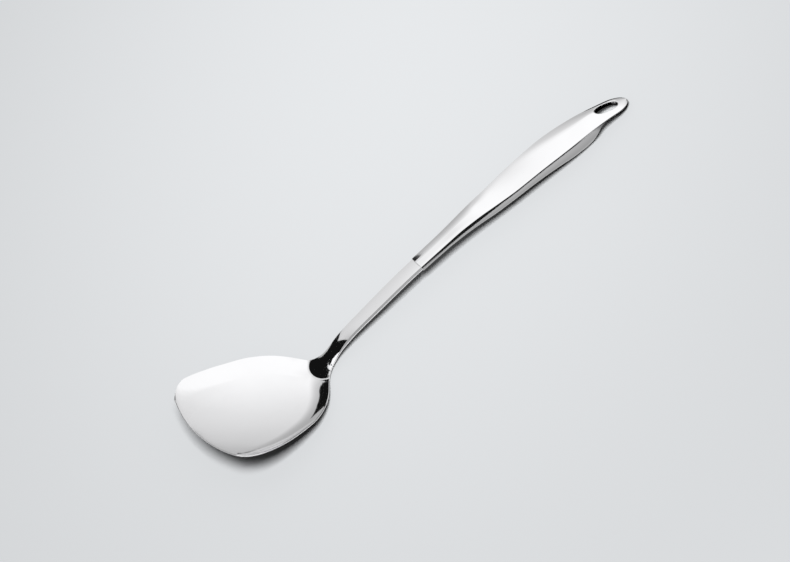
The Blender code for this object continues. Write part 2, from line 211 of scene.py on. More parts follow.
@dataclass(frozen=True)
class ToolLine:
    """Side view of the whole tool: the line of its top face and the way it lies on the table."""

    mouth_at: float = 0.186
    handle_length: float = 0.17888
    neck_slope: float = 0.695
    crease_at: float = 0.0938
    crease_kept: float = 0.004
    crease_blend: float = 0.006
    seam_below_top: float = 0.0020
    slope_blur: float = 0.0030
    fine_step: float = 0.00005
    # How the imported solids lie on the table, as the part's source works it out
    rest_tilt: float = math.radians(19.27038)
    rest_along: float = -0.18789132
    rest_up: float = 0.03258019

    @property
    def length(self) -> float:
        """Length of the tool along its blade."""
        return self.mouth_at + self.handle_length

    @property
    def fine_x(self) -> Array:
        """Closely spaced places along the whole tool."""
        return np.linspace(0, self.length, round(self.length / self.fine_step) + 1)

    def fine_slope(self) -> Array:
        """Evens out the slope of the top line, but for the crease.

        Returns:
            The slope at the fine places.
        """
        places = [(share * self.mouth_at, slope) for share, slope in HEAD_SLOPE_SHARES]
        for share, slope in HANDLE_SLOPE_SHARES:
            places.append((self.mouth_at + share * self.handle_length, slope))
        raw = self.neck_slope * smooth_through(tuple(places), self.fine_x)
        even = blurred(raw, self.slope_blur / self.fine_step)
        away = eased((abs(self.fine_x - self.crease_at) - self.crease_kept) / self.crease_blend)
        return raw + (even - raw) * away

    def heights(self, x: Array) -> Array:
        """Adds the slope up to the height of the top line.

        Args:
            x: Places along the tool.

        Returns:
            The height of the centre line there.
        """
        slope = self.fine_slope()
        steps = (slope[1:] + slope[:-1]) / 2 * np.diff(self.fine_x)
        return np.interp(x, self.fine_x, np.concatenate([[0], np.cumsum(steps)]))

    def angles(self, x: Array) -> Array:
        """Angle of the top line above level."""
        return np.arctan(np.interp(x, self.fine_x, self.fine_slope()))

    def seam(self, x: Array, up: Array) -> Array:
        """Finds points on the centre plane, square to the seam line.

        Args:
            x: Places along the tool.
            up: Heights above the seam.

        Returns:
            Points (x, 0, z) in the tool frame.
        """
        angle = self.angles(x)
        offset = up - self.seam_below_top
        along = x - offset * np.sin(angle)
        height = self.heights(x) + offset * np.cos(angle)
        return np.stack([along, np.zeros_like(along), height], axis=-1)

    def laid(self, points: Array) -> Array:
        """Turns points of the tool frame into points on the table.

        Args:
            points: Array whose last axis is (x, y, z) in the tool frame.

        Returns:
            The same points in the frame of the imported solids.
        """
        turn = np.array(Matrix.Rotation(self.rest_tilt, 3, "Y"))
        return points @ turn.T + np.array((self.rest_along, 0, self.rest_up))


def arithmetic(operation: str, reflected: bool = False) -> Callable:
    """Makes a method of Value that adds a Math node.

    Args:
        operation: The node's operation.
        reflected: Whether the other value comes first.

    Returns:
        The method.
    """

    def method(self: "Value", other: "Value | float") -> "Value":
        """Adds the node and gives its result."""
        values = (other, self) if reflected else (self, other)
        return self.tree.value("ShaderNodeMath", values, operation=operation)

    return method


class Value:
    """A node's output socket that Python's arithmetic can be used on."""

    def __init__(self, tree: "NodeTree", socket: bpy.types.NodeSocket) -> None:
        """Keeps the tree, to which the arithmetic adds its nodes, and the socket."""
        self.tree = tree
        self.socket = socket

    __add__ = arithmetic("ADD")
    __radd__ = arithmetic("ADD", reflected=True)
    __sub__ = arithmetic("SUBTRACT")
    __rsub__ = arithmetic("SUBTRACT", reflected=True)
    __mul__ = arithmetic("MULTIPLY")
    __rmul__ = arithmetic("MULTIPLY", reflected=True)
    __truediv__ = arithmetic("DIVIDE")
    __rtruediv__ = arithmetic("DIVIDE", reflected=True)
    __pow__ = arithmetic("POWER")
    __rpow__ = arithmetic("POWER", reflected=True)
    at_least = arithmetic("MAXIMUM")
    at_most = arithmetic("MINIMUM")

    def eased(self, start: float, end: float) -> "Value":
        """A soft step from 0 at start to 1 at end."""
        inputs = {"Value": self, "From Min": start, "From Max": end}
        return self.tree.value("ShaderNodeMapRange", inputs, interpolation_type="SMOOTHSTEP")

    def between(self, low: float, high: float) -> "Value":
        """Spreads a value of 0 to 1 over low to high."""
        return self * (high - low) + low


class NodeTree:
    """A shader or geometry node tree, with one method that adds any node."""

    # Numbers of a Mix node's two colours and of its result
    FIRST_COLOUR = 6
    SECOND_COLOUR = 7
    MIXED_COLOUR = 2

    def __init__(self, tree: bpy.types.NodeTree) -> None:
        """Starts from an empty tree."""
        self.tree = tree
        tree.nodes.clear()

    def add(self, kind: str, inputs: Inputs = (), **settings: object) -> bpy.types.Node:
        """Adds a node.

        Args:
            kind: The node's type.
            inputs: Numbers, colours or values for its sockets, by name or in order.
            **settings: Its own settings, or a ramp's stops, made before its inputs are filled.

        Returns:
            The new node.
        """
        node = self.tree.nodes.new(kind)
        for name, setting in settings.items():
            if name == "stops":
                self.set_stops(node.color_ramp, setting)
            else:
                setattr(node, name, setting)
        pairs = inputs.items() if isinstance(inputs, dict) else enumerate(inputs)
        for key, given in pairs:
            if isinstance(given, Value):
                self.tree.links.new(given.socket, node.inputs[key])
            else:
                node.inputs[key].default_value = given
        return node

    def value(
        self, kind: str, inputs: Inputs = (), output: str | int = 0, **settings: object
    ) -> Value:
        """Adds a node and wraps one of its outputs, which is the first unless it is named."""
        return Value(self, self.add(kind, inputs, **settings).outputs[output])

    @staticmethod
    def set_stops(ramp: bpy.types.ColorRamp, stops: Shares) -> None:
        """Gives a new ramp its grey stops.

        Args:
            ramp: The ramp, with the two stops that it starts with.
            stops: (position, brightness) pairs.
        """
        while len(ramp.elements) < len(stops):
            ramp.elements.new(1)
        for element, (place, level) in zip(ramp.elements, stops):
            element.position = place
            element.color = (level, level, level, 1)

    def ramp(self, factor: Value, stops: Shares) -> Value:
        """Draws a piecewise linear curve of a value.

        Args:
            factor: Value from 0 to 1.
            stops: (position, brightness) pairs.

        Returns:
            The curve's value, up to the largest stop.
        """
        top = max(level for _, level in stops)
        shares = tuple((place, level / top) for place, level in stops)
        return self.value("ShaderNodeValToRGB", {"Fac": factor}, "Color", stops=shares) * top

    def coordinates(self, output: str) -> list[Value]:
        """Splits one of the Texture Coordinate outputs.

        Args:
            output: The output's name.

        Returns:
            Its x, y and z.
        """
        place = self.value("ShaderNodeTexCoord", (), output)
        parts = self.add("ShaderNodeSeparateXYZ", {"Vector": place}).outputs
        return [Value(self, part) for part in parts]

    def noise(self, place: Value, density: float, detail: float, grit: float) -> Value:
        """Adds a noise texture.

        Args:
            place: Where each point of the surface lies.
            density: How many swells it has in a metre.
            detail: How many times it is refined.
            grit: How strongly the finer noise shows.

        Returns:
            The noise, from 0 to 1.
        """
        inputs = {"Vector": place, "Scale": density, "Detail": detail, "Roughness": grit}
        return self.value("ShaderNodeTexNoise", inputs, "Fac")

    def darkened(self, factor: Value, colour: Colour, share: float) -> Value:
        """Mixes a colour with a darker one of its kind.

        Args:
            factor: 0 for the colour itself and 1 for the darker one.
            colour: The colour.
            share: What the darker one keeps of its brightness.

        Returns:
            The mixed colour.
        """
        inputs = {
            "Factor": factor,
            self.FIRST_COLOUR: (*colour, 1),
            self.SECOND_COLOUR: (*(share * part for part in colour), 1),
        }
        return self.value("ShaderNodeMix", inputs, self.MIXED_COLOUR, data_type="RGBA")

    def ray(self, kind: RayKind) -> Value:
        """1 for rays of one kind, 0 for the rest."""
        return self.value("ShaderNodeLightPath", (), kind.value)


def new_material(name: str) -> tuple[Material, NodeTree]:
    """Starts a material.

    Args:
        name: The material's name.

    Returns:
        The material, and its empty node tree.
    """
    material = bpy.data.materials.new(name)
    material.use_nodes = True
    return material, NodeTree(material.node_tree)


@dataclass(frozen=True)
class PolishedSteel:
    """Mirror polished stainless steel with fine lines along the tool and faint handling marks."""

    name: str
    tint: Colour = (0.80, 0.80, 0.81)
    worn_share: float = 0.94
    wear: float = 0.35
    roughness: float = 0.035
    line_roughness: float = 0.03
    line_density: float = 900
    line_stretch: float = 0.03
    line_detail: float = 4
    line_grit: float = 0.6
    line_strength: float = 0.03
    line_depth: float = 0.00001
    smudge_roughness: float = 0.02
    smudge_density: float = 28
    smudge_detail: float = 5
    smudge_grit: float = 0.55
    smudge_start: float = 0.35
    smudge_end: float = 0.70
    wave_density: float = 16
    wave_detail: float = 1
    wave_grit: float = 0.5
    wave_strength: float = 0.05
    wave_depth: float = 0.00012

    def material(self) -> Material:
        """Builds the finish.

        Returns:
            A new material.
        """
        steel, tree = new_material(self.name)
        place = tree.value("ShaderNodeTexCoord", (), "Object")
        stretch = {"Vector": place, "Scale": (self.line_stretch, 1, 1)}
        drawn = tree.value("ShaderNodeMapping", stretch)
        lines = tree.noise(drawn, self.line_density, self.line_detail, self.line_grit)
        spots = tree.noise(place, self.smudge_density, self.smudge_detail, self.smudge_grit)
        smudges = spots.eased(self.smudge_start, self.smudge_end)
        waves = tree.noise(place, self.wave_density, self.wave_detail, self.wave_grit)
        roughness = self.roughness + lines * self.line_roughness + smudges * self.smudge_roughness
        swell = {"Strength": self.wave_strength, "Distance": self.wave_depth, "Height": waves}
        grain = {"Strength": self.line_strength, "Distance": self.line_depth, "Height": lines}
        grain["Normal"] = tree.value("ShaderNodeBump", swell)
        surface = {
            "Base Color": tree.darkened(smudges * self.wear, self.tint, self.worn_share),
            "Metallic": 1,
            "Roughness": roughness,
            "Normal": tree.value("ShaderNodeBump", grain),
        }
        shader = tree.value("ShaderNodeBsdfPrincipled", surface)
        tree.add("ShaderNodeOutputMaterial", {"Surface": shader})
        return steel


@dataclass(frozen=True)
class GroundSteel(PolishedSteel):
    """Steel that was ground flush after welding, which leaves it duller."""

    roughness: float = 0.12


def linked(name: str, data: bpy.types.ID) -> Object:
    """Links a new object into the scene, at the origin.

    Args:
        name: The object's name.
        data: Its mesh, lamp or camera.

    Returns:
        The object.
    """
    thing = bpy.data.objects.new(name, data)
    bpy.context.scene.collection.objects.link(thing)
    return thing


def drawn_mesh(name: str, points: Array | list, faces: list, edges: list | None = None) -> Object:
    """Makes an object of points and what joins them.

    Args:
        name: Name of the object and its mesh.
        points: Its corner points.
        faces: Corner numbers of each face.
        edges: Corner numbers of each edge that no face has.

    Returns:
        The object.
    """
    mesh = bpy.data.meshes.new(name)
    mesh.from_pydata(np.array(points).tolist(), edges or [], faces)
    return linked(name, mesh)


def grid_faces(rows: int, columns: int, closed: bool) -> Array:
    """Numbers the corners of the quads of a grid of points.

    Args:
        rows: Number of rows.
        columns: Number of points in each row.
        closed: Whether each row's last point joins its first.

    Returns:
        Array of four point numbers for each quad.
    """
    numbers = np.arange(rows * columns).reshape(rows, columns)
    if closed:
        numbers = np.concatenate([numbers, numbers[:, :1]], axis=1)
    corners = (numbers[:-1, :-1], numbers[:-1, 1:], numbers[1:, 1:], numbers[1:, :-1])
    return np.stack([corner.ravel() for corner in corners], axis=1)


def work_in_modifiers(thing: Object) -> None:
    """Gives an object a plain mesh of what its modifiers make, and takes them off.

    Args:
        thing: The object.
    """
    raw = thing.data
    graph = bpy.context.evaluated_depsgraph_get()
    worked = bpy.data.meshes.new_from_object(thing.evaluated_get(graph), depsgraph=graph)
    thing.modifiers.clear()
    thing.data = worked
    bpy.data.meshes.remove(raw)
    worked.name = thing.name


def shade(mesh: Mesh, crease: float) -> None:
    """Turns all faces outwards, smooth but for the sharp edges.

    Args:
        mesh: A closed mesh.
        crease: Angle between faces from which an edge is sharp.
    """
    shape = bmesh.new()
    shape.from_mesh(mesh)
    bmesh.ops.remove_doubles(shape, verts=shape.verts, dist=MERGE_DISTANCE)
    bmesh.ops.recalc_face_normals(shape, faces=shape.faces)
    for face in shape.faces:
        face.smooth = True
    for edge in shape.edges:
        edge.smooth = len(edge.link_faces) == 2 and edge.calc_face_angle(0) < crease
    shape.to_mesh(mesh)
    shape.free()


def finish(piece: Object, steel: Material, crease: float) -> Object:
    """Shades a piece and gives it its finish alone.

    Args:
        piece: The piece, in place.
        steel: Its finish.
        crease: Angle between faces from which an edge is sharp.

    Returns:
        The same piece.
    """
    shade(piece.data, crease)
    piece.data.materials.clear()
    piece.data.materials.append(steel)
    return piece


@dataclass
class NodeTool:
    """A tool made of a geometry node tree, whose named inputs are the tool's own fields."""

    def sizes(self) -> dict[str, float | int]:
        """The fields, by the names of the tree's inputs."""
        return {
            field.name.replace("_", " ").title(): getattr(self, field.name)
            for field in fields(self)
        }

    def nodes(self, tree: NodeTree, given: dict[str, Value]) -> Value:
        """Adds the nodes that make the shape; each kind of tool has its own."""
        raise NotImplementedError

    def group(self, name: str) -> bpy.types.NodeTree:
        """Builds the tree.

        Args:
            name: The tree's name.

        Returns:
            A node group that takes the object's geometry, the tool's sizes and a material.
        """
        group = bpy.data.node_groups.new(name, "GeometryNodeTree")
        kinds = {float: "NodeSocketFloat", int: "NodeSocketInt"}
        sockets = [("Geometry", "INPUT", "NodeSocketGeometry")]
        sockets += [(key, "INPUT", kinds[type(size)]) for key, size in self.sizes().items()]
        sockets += [("Material", "INPUT", "NodeSocketMaterial")]
        sockets += [("Geometry", "OUTPUT", "NodeSocketGeometry")]
        for key, way, kind in sockets:
            group.interface.new_socket(key, in_out=way, socket_type=kind)
        tree = NodeTree(group)
        outputs = tree.add("NodeGroupInput").outputs
        given = {socket.name: Value(tree, socket) for socket in outputs}
        real = tree.value("GeometryNodeRealizeInstances", {"Geometry": self.nodes(tree, given)})
        shown = {"Geometry": real, "Material": given["Material"]}
        tree.add("NodeGroupOutput", {"Geometry": tree.value("GeometryNodeSetMaterial", shown)})
        return group

    def work_on(self, thing: Object, steel: Material) -> None:
        """Runs the tree on an object and keeps what it makes as a plain mesh.

        Args:
            thing: The object, whose geometry the tree takes.
            steel: Material of what the tree makes.
        """
        modifier = thing.modifiers.new(thing.name, "NODES")
        modifier.node_group = self.group(thing.name)
        given = {**self.sizes(), "Material": steel}
        for item in modifier.node_group.interface.items_tree:
            if item.name in given:
                modifier[item.identifier] = given[item.name]
        work_in_modifiers(thing)


@dataclass
class StampingDie(NodeTool):
    """Presses the dish, the wall and the neck's crown into a blank."""

    dish_radius: float = 0.350
    wall_width: float = 0.0152
    wall_height: float = 0.0027
    wall_sharpness: float = 1.94
    neck_crown: float = 0.0004

    def nodes(self, tree: NodeTree, given: dict[str, Value]) -> Value:
        """Moves the blank's points up or down by what its own attributes say.

        Args:
            tree: The die's node tree.
            given: Its inputs.

        Returns:
            The pressed sheet.
        """
        names = ("across", "dish", "rim_gap", "wall", "crown")
        kind = "GeometryNodeInputNamedAttribute"
        across, dish, gap, wall, crown = (
            tree.value(kind, {"Name": name}, "Attribute", data_type="FLOAT") for name in names
        )
        bowl = dish * across * across / (given["Dish Radius"] * 2)
        near_rim = (1 - gap / given["Wall Width"]).at_least(0).at_most(1)
        rise = wall * given["Wall Height"] * near_rim ** given["Wall Sharpness"]
        lifted = bowl + rise - crown * given["Neck Crown"]
        offset = tree.value("ShaderNodeCombineXYZ", {"Z": lifted})
        moved = {"Geometry": given["Geometry"], "Offset": offset}
        return tree.value("GeometryNodeSetPosition", moved)


@dataclass
class TurnerHead:
    """The stamped head: dished blade, crisp crease, steep neck and flat shank, from one sheet."""

    line: ToolLine
    steel: PolishedSteel
    die: StampingDie
    half_width: float = 0.0538
    blade_thickness: float = 0.0012
    shank_thickness: float = 0.0030
    front_bow: float = 0.0067
    crease_bow: float = 0.0046
    rim_rounding: float = 0.00055
    outline_blur: float = 0.0012
    front_fade: float = 0.0206
    neck_fade: float = 0.0175
    neck_growth: float = 0.0323
    crown_rise: float = 0.0206
    dish_fade: float = 0.0303
    bow_fade: float = 0.0235
    dish_lead: float = 0.566
    neck_end_at: float = 0.1313
    crease_reach: float = 0.003
    fit_gap: float = 0.0003
    outline_step: float = 0.0001
    front_rows: int = 150
    crease_rows: int = 30
    neck_rows: int = 64
    shank_rows: int = 50
    columns: int = 120
    rim_steps: int = 5
    rim_stride: int = 4
    crease_angle: float = math.radians(50)

    def outline(self) -> Array:
        """Draws the right half of the head's plan outline.

        Returns:
            Finely spaced (x, y) points from the middle of the front to the handle's mouth.
        """
        xs, ys = np.array(EDGE_SHARES, float).T
        xs = xs * self.line.mouth_at
        ys = ys * self.half_width
        along = np.concatenate([[0], np.cumsum(np.hypot(np.diff(xs), np.diff(ys)))])
        fine = np.linspace(0, along[-1], round(along[-1] / self.outline_step) + 1)
        front_y = np.arange(0, ys[0], self.outline_step)
        front_x = xs[0] - self.front_bow * (1 - (front_y / ys[0]) ** 2)
        x = np.concatenate([front_x, smooth_through(tuple(zip(along, xs)), fine)])
        y = np.concatenate([front_y, smooth_through(tuple(zip(along, ys)), fine)])
        reach = self.outline_blur / self.outline_step
        whole = (np.concatenate([x[:0:-1], x]), np.concatenate([-y[:0:-1], y]))
        return np.stack([blurred(part, reach)[len(x) - 1 :] for part in whole], axis=1)

    def inset(self, outline: Array, by: float) -> Array:
        """Moves an outline inwards, to where the rounding of the rim begins.

        Args:
            outline: Right half of the plan outline.
            by: The distance.

        Returns:
            The moved outline.
        """
        tangent = np.gradient(outline, axis=0)
        tangent /= np.linalg.norm(tangent, axis=1)[:, None]
        normal = np.stack([tangent[:, 1], -tangent[:, 0]], axis=1)
        return outline + by * normal

    def row_bow(self, edge_x: Array) -> Array:
        """Finds how far the middle of a row lies in front of its ends.

        Args:
            edge_x: Places of the rows' ends.

        Returns:
            The distances.
        """
        crease_end = self.line.crease_at + self.crease_bow
        blade_share = np.clip((edge_x - self.front_bow) / (crease_end - self.front_bow), 0, 1)
        blade_bow = self.front_bow + (self.crease_bow - self.front_bow) * blade_share
        neck_bow = self.crease_bow * (1 - eased((edge_x - crease_end) / self.bow_fade))
        return np.where(edge_x < crease_end, blade_bow, neck_bow)

    def row_places(self) -> Array:
        """Spaces the rows, closer together at the crease.

        Returns:
            Where they cross the centre line.
        """
        before = self.line.crease_at - self.crease_reach
        after = self.line.crease_at + self.crease_reach
        stretches = (
            (self.rim_rounding, before, self.front_rows),
            (before, after, self.crease_rows),
            (after, self.neck_end_at, self.neck_rows),
            (self.neck_end_at, self.line.mouth_at - self.fit_gap, self.shank_rows),
        )
        parts = [np.linspace(start, end, count + 1)[1:] for start, end, count in stretches]
        return np.concatenate([[self.rim_rounding], *parts])

    def grid(self, outline: Array, shares: Array) -> tuple[Array, Array, Array]:
        """Fits the sheet's rows and columns into its outline.

        Args:
            outline: Right half of the plan outline.
            shares: Place of each column, from 1 at the right edge to -1 at the left.

        Returns:
            The x and the y of each point, and where the rows cross the centre line.
        """
        edge = self.inset(outline, self.rim_rounding)
        corner = int(np.argmax(edge[:, 1] > EDGE_SHARES[0][1] * self.half_width))
        front, side = edge[: corner + 1], edge[corner:]
        side_middle = side[:, 0] - self.row_bow(side[:, 0])
        side_middle = np.maximum.accumulate(side_middle - side_middle[0] + front[0, 0])
        places = self.row_places()
        front_rise = np.interp(abs(shares) * front[-1, 1], front[:, 1], front[:, 0])
        front_curve = (front_rise - front[0, 0]) / (front[-1, 0] - front[0, 0])
        end_x = np.interp(places, side_middle, side[:, 0])[:, None]
        end_y = np.interp(places, side_middle, side[:, 1])[:, None]
        lead = np.clip(places / self.line.crease_at, 0, 1)[:, None]
        curve = front_curve * (1 - lead) + shares * shares * lead
        x = end_x - (end_x - places[:, None]) * (1 - curve)
        return x, end_y * shares, places

    def rim_distance(self, x: Array, y: Array, outline: Array) -> tuple[Array, Array]:
        """Finds the rim's nearest point to each point of the grid.

        Args:
            x: The points' places along the tool.
            y: Their places across it.
            outline: Right half of the plan outline.

        Returns:
            The distance to that nearest point, and how far back it lies.
        """
        rim = outline[:: self.rim_stride]
        gap = np.empty_like(x)
        rim_x = np.empty_like(x)
        for row in range(len(x)):
            dx = rim[:, 0] - x[row][:, None]
            dy = rim[:, 1] - abs(y[row])[:, None]
            distance = np.hypot(dx, dy)
            nearest = distance.argmin(axis=1)
            gap[row] = distance[np.arange(len(nearest)), nearest]
            rim_x[row] = rim[nearest, 0]
        return gap, rim_x

    def blank(self) -> tuple[Object, Array]:
        """Cuts the blank: a grid along the top line, with the attributes that the die reads.

        Returns:
            The blank, and where its rows cross the centre line.
        """
        outline = self.outline()
        shares = np.linspace(1, -1, self.columns + 1)
        x, y, places = self.grid(outline, shares)
        gap, rim_x = self.rim_distance(x, y, outline)
        past = (places - self.line.crease_at)[:, None] + 0 * x
        fade_in = eased((rim_x - self.front_bow / 2) / self.front_fade)
        fade_out = 1 - eased((rim_x - self.line.crease_at) / self.neck_fade)
        rising = eased(past / self.crown_rise) * (1 - eased(past / self.neck_growth))
        height = self.line.heights(places)[:, None] + 0 * x
        points = np.stack([x, y, height], axis=-1).reshape(-1, 3)
        blank = drawn_mesh("stamping", points, grid_faces(*x.shape, closed=False).tolist())
        attributes = {
            "across": y,
            "dish": 1 - eased(past / self.dish_fade + self.dish_lead),
            "rim_gap": gap,
            "wall": fade_in * fade_out,
            "crown": rising * shares * shares,
        }
        for name, values in attributes.items():
            layer = blank.data.attributes.new(name, "FLOAT", "POINT")
            layer.data.foreach_set("value", np.ascontiguousarray(values, np.float32).ravel())
        return blank, places

    def thickened(self, top: Array, thickness: Array) -> tuple[Array, list]:
        """Gives the pressed sheet its thickness and rounds its rim.

        Args:
            top: Points of the top face, by row and column.
            thickness: The sheet's thickness at each row.

        Returns:
            Points and faces of the closed head.
        """
        rows, columns = top.shape[:2]
        normal = np.cross(np.gradient(top, axis=1), np.gradient(top, axis=0))
        normal /= np.linalg.norm(normal, axis=2)[..., None]
        bottom = top - normal * thickness[:, None, None]
        # The rim runs forward along one side, round the front and back along the other.
        border = [(row, 0) for row in range(rows - 1, 0, -1)]
        border += [(0, column) for column in range(columns)]
        border += [(row, columns - 1) for row in range(1, rows)]
        border_rows, border_columns = np.array(border).T
        edge = top[border_rows, border_columns]
        up = normal[border_rows, border_columns]
        out = np.cross(up, np.gradient(edge, axis=0))
        out /= np.linalg.norm(out, axis=1)[:, None]
        deep = thickness[border_rows][:, None]
        radius = self.rim_rounding
        turns = quarter_turn(self.rim_steps)[1:]
        upper = [(math.sin(turn), radius * (1 - math.cos(turn)) + 0 * deep) for turn in turns]
        lower = [(reach, deep - sunk) for reach, sunk in reversed(upper)]
        points = [top.reshape(-1, 3)]
        rings = [border_rows * columns + border_columns]
        count = rows * columns
        for reach, depth in upper + lower:
            points.append(edge + out * radius * reach - up * depth)
            rings.append(count + np.arange(len(border)))
            count += len(border)
        points.append(bottom.reshape(-1, 3))
        rings.append(count + border_rows * columns + border_columns)
        inner = grid_faces(rows, columns, closed=False)
        faces = inner.tolist() + (inner + count)[:, ::-1].tolist()
        for first, second in zip(rings, rings[1:]):
            faces += np.stack([first[:-1], first[1:], second[1:], second[:-1]], axis=1).tolist()
        last_row = (rows - 1) * columns + np.arange(1, columns - 1)
        left = [ring[-1] for ring in rings]
        right = [ring[0] for ring in rings]
        faces.append([*last_row, *left, *(count + last_row[::-1]), *right[::-1]])
        return np.concatenate(points), faces

    def build(self) -> Object:
        """Presses the blank and finishes the head.

        Returns:
            The finished head.
        """
        blank, places = self.blank()
        steel = self.steel.material()
        self.die.work_on(blank, steel)
        pressed = np.empty(len(blank.data.vertices) * 3)
        blank.data.vertices.foreach_get("co", pressed)
        bpy.data.objects.remove(blank)
        growth = eased((places - self.line.crease_at) / self.neck_growth)
        added = self.shank_thickness - self.blade_thickness
        thickness = self.blade_thickness + added * growth
        top = pressed.reshape(len(places), self.columns + 1, 3)
        points, faces = self.thickened(top, thickness)
        head = drawn_mesh("polished_head", self.line.laid(points), faces)
        return finish(head, steel, self.crease_angle)


@dataclass
class HandleForm:
    """Outer form of the handle, sampled finely and evened out along it."""

    line: ToolLine
    half_width: float = 0.0133
    shoulder_height: float = 0.0036
    crown_height: float = 0.0018
    belly_depth: float = 0.0135
    end_round: float = 0.0130
    blur: float = 0.0030
    sharp_blur: float = 0.0010

    def along(self, table: Shares, x: Array, blur: float) -> Array:
        """Reads one of the handle's tables.

        Args:
            table: The table.
            x: Places along the tool.
            blur: Length over which the table is evened out.

        Returns:
            The table's value at each place.
        """
        step = self.line.fine_step
        fine = np.arange(self.line.mouth_at, self.line.length + step, step)
        shares = (fine - self.line.mouth_at) / self.line.handle_length
        return np.interp(x, fine, blurred(smooth_through(table, shares), blur / step))

    def width(self, x: Array) -> Array:
        """Finds the half width in plan, with the round end.

        Args:
            x: Places along the tool.

        Returns:
            The half width at each place.
        """
        past = np.clip((x - self.line.length + self.end_round) / self.end_round, 0, 1)
        plain = self.half_width * self.along(HANDLE_WIDTH_SHARES, x, self.blur)
        return plain * np.sqrt(1 - past * past)

    def shoulder(self, x: Array) -> Array:
        """Height of the top shell's side wall above the seam."""
        return self.shoulder_height * self.along(SHOULDER_SHARES, x, self.blur)

    def crown(self, x: Array) -> Array:
        """Rise of the top's middle above its sides."""
        return self.crown_height * self.along(CROWN_SHARES, x, self.blur)

    def depth(self, x: Array) -> Array:
        """Depth of the belly below the seam."""
        return self.belly_depth * self.along(DEPTH_SHARES, x, self.sharp_blur)

    def boxed(self, x: Array) -> Array:
        """Share of the plain rounded box in the belly's section."""
        return np.clip(self.along(BOX_SHARES, x, self.blur), 0, 1)


@dataclass
class HangHole:
    """The squarish oval hole that the tool hangs by, and the soft lip round it."""

    line: ToolLine
    margin: float = 0.0167
    length: float = 0.0180
    width: float = 0.0092
    squareness: float = 2.3
    least_reach: float = 0.1
    lip_radius: float = 0.0006
    cutter_height: float = 0.020
    steps: int = 96

    @property
    def centre(self) -> float:
        """Place of the hole's middle along the tool."""
        return self.line.length - self.margin

    def gap(self, x: Array, y: Array) -> Array:
        """Measures how far points lie outside the hole's edge.

        Args:
            x: Distance along the tool from the hole's middle.
            y: Distance across the tool from the hole's middle.

        Returns:
            The distance, near enough beside the edge for the lip's rounding and below zero
            within it.
        """
        power = self.squareness
        along = abs(x) / (self.length / 2)
        across = abs(y) / (self.width / 2)
        reach = np.maximum((along**power + across**power) ** (1 / power), self.least_reach)
        slope_x = (along / reach) ** (power - 1) / (self.length / 2)
        slope_y = (across / reach) ** (power - 1) / (self.width / 2)
        return (reach - 1) / np.maximum(np.hypot(slope_x, slope_y), 1 / self.length)

    def cutter(self) -> Object:
        """Makes a prism of the hole, standing square to the tab.

        Returns:
            The cutter, laid on the table with the tool.
        """
        turns = np.linspace(0, 2 * math.pi, self.steps + 1)[:-1]
        power = 2 / self.squareness
        x = self.length / 2 * np.sign(np.cos(turns)) * abs(np.cos(turns)) ** power
        y = self.width / 2 * np.sign(np.sin(turns)) * abs(np.sin(turns)) ** power
        middle = self.line.seam(np.array([self.centre]), np.zeros(1))[0]
        turn = np.array(Matrix.Rotation(-float(self.line.angles(self.centre)), 3, "Y"))
        points = []
        for side in (-1, 1):
            level = np.full(len(x), side * self.cutter_height / 2)
            points.append(np.stack([x, y, level], axis=1) @ turn.T + middle)
        faces = grid_faces(2, len(x), closed=True).tolist()
        faces += [list(range(len(x))), list(range(len(x), 2 * len(x)))]
        cutter = drawn_mesh("hole_cutter", self.line.laid(np.concatenate(points)), faces)
        shade(cutter.data, math.pi)
        return cutter


